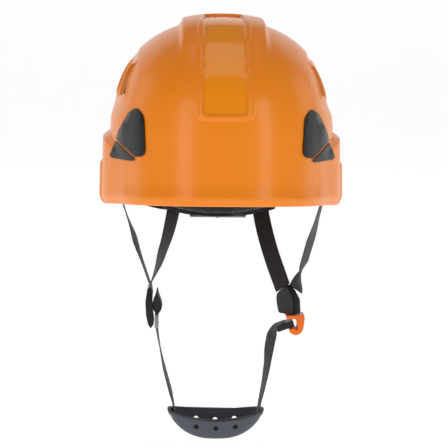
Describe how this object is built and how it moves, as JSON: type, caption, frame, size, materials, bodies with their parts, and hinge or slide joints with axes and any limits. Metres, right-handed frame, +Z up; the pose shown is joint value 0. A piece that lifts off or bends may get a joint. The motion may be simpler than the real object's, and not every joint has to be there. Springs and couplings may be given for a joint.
{
  "type": "arborist helmet",
  "caption": "Orange vented climbing helmet with textile cradle, ratchet headband, lamp clips and a four-strap chin harness with cup and side buckle.",
  "frame": {"origin": "centre of the head opening, level with the front edge of the rim, where a head holds the helmet", "axes": "+Z up through the crown, -Y the way the wearer faces, +X the wearer's left"},
  "size_m": [0.226, 0.2844, 0.399],
  "materials": {
    "shell_orange": "gloss moulded plastic",
    "black_plastic": "fine satin",
    "grey_plastic": "satin",
    "buckle_orange": "satin",
    "webbing": "woven polyester",
    "cradle_webbing": "woven polyester",
    "padding": "knitted cover on foam",
    "liner_foam": "moulded bead foam",
    "vent_mesh": "perforated sheet",
    "grey_rubber": "soft matt"
  },
  "bodies": {
    "root": {"outer_shell": "shell_orange", "lamp_clip_corner_right": "black_plastic", "lamp_hook_right": "black_plastic", "strap_anchor_front_right": "black_plastic", "strap_anchor_rear_right": "black_plastic", "strap_divider_right": "black_plastic", "temple_pin_right": "black_plastic", "vent_mesh_front_right": "vent_mesh", "vent_mesh_rear_right": "vent_mesh", "front_strap_right": "webbing", "rear_strap_right": "webbing", "lamp_clip_corner_left": "black_plastic", "lamp_hook_left": "black_plastic", "strap_anchor_front_left": "black_plastic", "strap_anchor_rear_left": "black_plastic", "strap_divider_left": "black_plastic", "temple_pin_left": "black_plastic", "vent_mesh_front_left": "vent_mesh", "vent_mesh_rear_left": "vent_mesh", "front_strap_left": "webbing", "rear_strap_left": "webbing", "headband": "black_plastic", "ladder_lock": "black_plastic", "cradle_hanger_front": "black_plastic", "cradle_hanger_rear": "black_plastic", "cradle_hanger_front_left": "black_plastic", "cradle_hanger_rear_left": "black_plastic", "cradle_hanger_front_right": "black_plastic", "cradle_hanger_rear_right": "black_plastic", "energy_liner": "liner_foam", "cradle_strap_front_to_back": "cradle_webbing", "cradle_strap_right_to_left": "cradle_webbing", "cradle_strap_left_to_right": "cradle_webbing", "crown_pad": "padding", "sweat_pad": "padding", "strap_loop_right": "webbing", "chin_strap_right": "webbing", "chin_strap_lower_left": "webbing", "buckle_socket": "buckle_orange"},
    "chin_cup_body": {"chin_cup": "grey_rubber"},
    "buckle_tongue_body": {"buckle_tongue": "black_plastic", "chin_strap_upper_left": "webbing"},
    "nape_body": {"ratchet_housing": "black_plastic", "ratchet_cover": "black_plastic", "nape_cradle": "black_plastic", "nape_pad": "padding"},
    "knob_body": {"adjuster_knob": "grey_plastic", "pinion": "grey_plastic"},
    "arm_right_body": {"rack_arm_right": "black_plastic"},
    "arm_left_body": {"rack_arm_left": "black_plastic"},
    "clip_right_body": {"lamp_clip_leaf_right": "black_plastic"},
    "clip_left_body": {"lamp_clip_leaf_left": "black_plastic"}
  },
  "joints": [
    {"name": "knob_turn", "type": "hinge", "parent": "nape_body", "child": "knob_body", "pos_m": [0, 0.10842, -0.02334], "axis": [0, -0.9759, 0.2181], "range_deg": [0, 134]},
    {"name": "nape_tighten", "type": "slide", "parent": "root", "child": "nape_body", "axis": [0, -0.9759, 0.2181], "range_m": [0, 0.0119]},
    {"name": "right_arm_swing", "type": "hinge", "parent": "root", "child": "arm_right_body", "pos_m": [-0.084, 0.0079, -0.00087], "axis": [0, -0.2181, -0.9759], "range_deg": [0, 9.1]},
    {"name": "left_arm_swing", "type": "hinge", "parent": "root", "child": "arm_left_body", "pos_m": [0.084, 0.0079, -0.00087], "axis": [0, 0.2181, 0.9759], "range_deg": [0, 9.1]},
    {"name": "right_clip_flex", "type": "hinge", "parent": "root", "child": "clip_right_body", "pos_m": [-0.0685, -0.10871, 0.0447], "axis": [-0.0482, 0.2122, 0.976], "range_deg": [0, 8], "stiffness_Nm_per_rad": 0.4},
    {"name": "left_clip_flex", "type": "hinge", "parent": "root", "child": "clip_left_body", "pos_m": [0.0685, -0.10871, 0.0447], "axis": [-0.0482, -0.2122, -0.976], "range_deg": [0, 8], "stiffness_Nm_per_rad": 0.4},
    {"name": "buckle_release", "type": "slide", "parent": "root", "child": "buckle_tongue_body", "axis": [-0.9397, 0, -0.342], "range_m": [0, 0.018]},
    {"name": "chin_cup_tilt", "type": "hinge", "parent": "root", "child": "chin_cup_body", "pos_m": [-0.0026, -0.001, -0.212], "axis": [1, 0, 0], "range_deg": [-12, 12]}
  ],
  "couplings": [
    {"joint": "knob_turn", "follows": "nape_tighten", "rad_per_m": 196.53},
    {"joint": "right_arm_swing", "follows": "nape_tighten", "rad_per_m": 13.2},
    {"joint": "left_arm_swing", "follows": "nape_tighten", "rad_per_m": 13.2}
  ]
}
